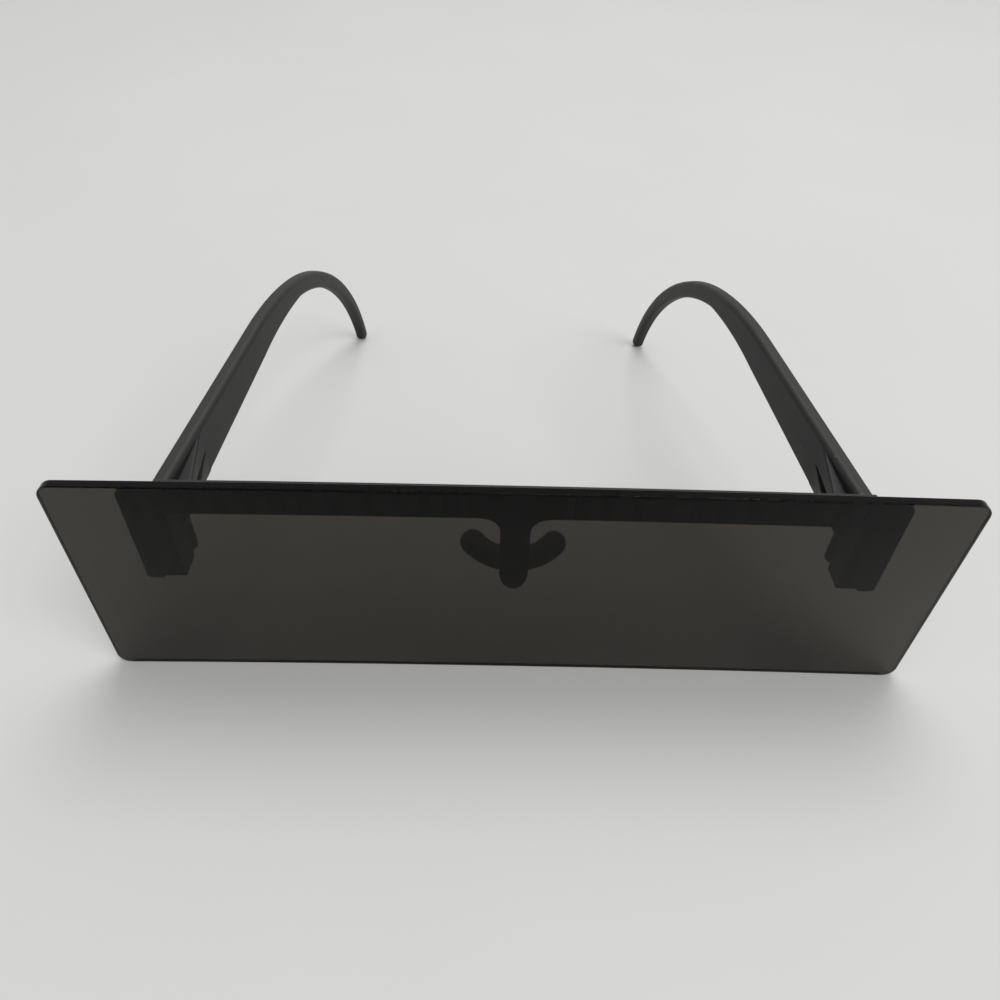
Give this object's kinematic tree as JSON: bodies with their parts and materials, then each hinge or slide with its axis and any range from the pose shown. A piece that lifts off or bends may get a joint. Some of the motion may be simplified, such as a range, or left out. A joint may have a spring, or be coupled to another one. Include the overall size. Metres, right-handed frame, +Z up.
{
  "type": "novelty sunglasses",
  "caption": "Wide flat-panel sunglasses: one tinted rectangular panel bonded to a slim black frame, with a nose rest and folding temples that hook over the ears.",
  "frame": {"origin": "middle of the panel's bottom edge, on the table that the glasses stand on", "axes": "+X to the right as the panel's front is seen, +Y back along the temples, +Z up"},
  "size_m": [0.165, 0.1327, 0.05],
  "materials": {
    "tinted_panel": "polished smoke-tinted clear acrylic",
    "frame_plastic": "moulded black plastic, satin",
    "temple_plastic": "moulded black plastic, fine matte grain",
    "soft_rest": "soft black vinyl",
    "screw_steel": "plain steel screw",
    "adhesive": "thin black adhesive film"
  },
  "bodies": {
    "front": {"lens_panel": "tinted_panel", "brow_frame": "frame_plastic", "nose_rest": "soft_rest", "bond_brow": "adhesive", "bond_left": "adhesive", "bond_right": "adhesive"},
    "left_temple": {"temple_left": "temple_plastic", "hinge_screw_left": "screw_steel"},
    "right_temple": {"temple_right": "temple_plastic", "hinge_screw_right": "screw_steel"}
  },
  "joints": [
    {"name": "left_fold", "type": "hinge", "parent": "front", "child": "left_temple", "pos_m": [-0.0642, 0.00835, 0.0338], "axis": [0, 0, -1], "range_deg": [0, 81]},
    {"name": "right_fold", "type": "hinge", "parent": "front", "child": "right_temple", "pos_m": [0.0642, 0.00835, 0.0338], "axis": [0, 0, 1], "range_deg": [0, 69]}
  ]
}
